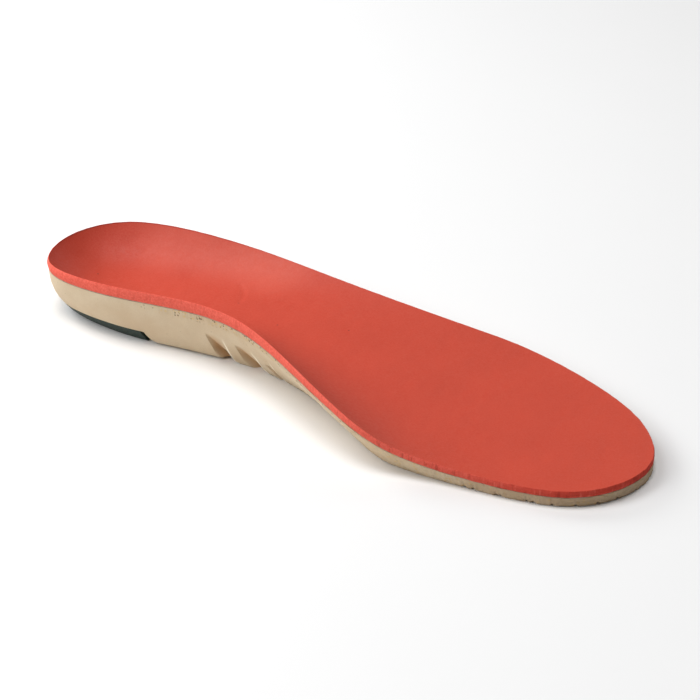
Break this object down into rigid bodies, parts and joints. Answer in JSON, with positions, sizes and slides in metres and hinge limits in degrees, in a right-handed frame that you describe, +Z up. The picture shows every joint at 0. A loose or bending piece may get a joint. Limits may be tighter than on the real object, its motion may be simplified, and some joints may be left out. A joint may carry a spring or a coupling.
{
  "type": "cushioned insole",
  "caption": "Full-length cushioned insole for a left shoe: foam top cover on a contoured foam base with a deep heel cup, raised fluted arch and a separate heel pad.",
  "frame": {"origin": "middle of the insole's bounding box in plan, on the surface it lies on", "axes": "+X from the heel to the toes, +Y to the outer (little toe) side of the left foot, +Z up, out of the footbed"},
  "size_m": [0.28, 0.1, 0.0274],
  "materials": {
    "cover_foam": "smooth matte foam skin, porous at the cut edge",
    "adhesive": "dull dried glue film",
    "base_foam": "matte moulded foam with fine pores",
    "heel_pad_rubber": "matte soft rubber foam"
  },
  "bodies": {
    "root": {"top_cover": "cover_foam", "cover_adhesive": "adhesive", "base": "base_foam", "heel_pad": "heel_pad_rubber", "heel_pad_adhesive": "adhesive"}
  },
  "joints": []
}
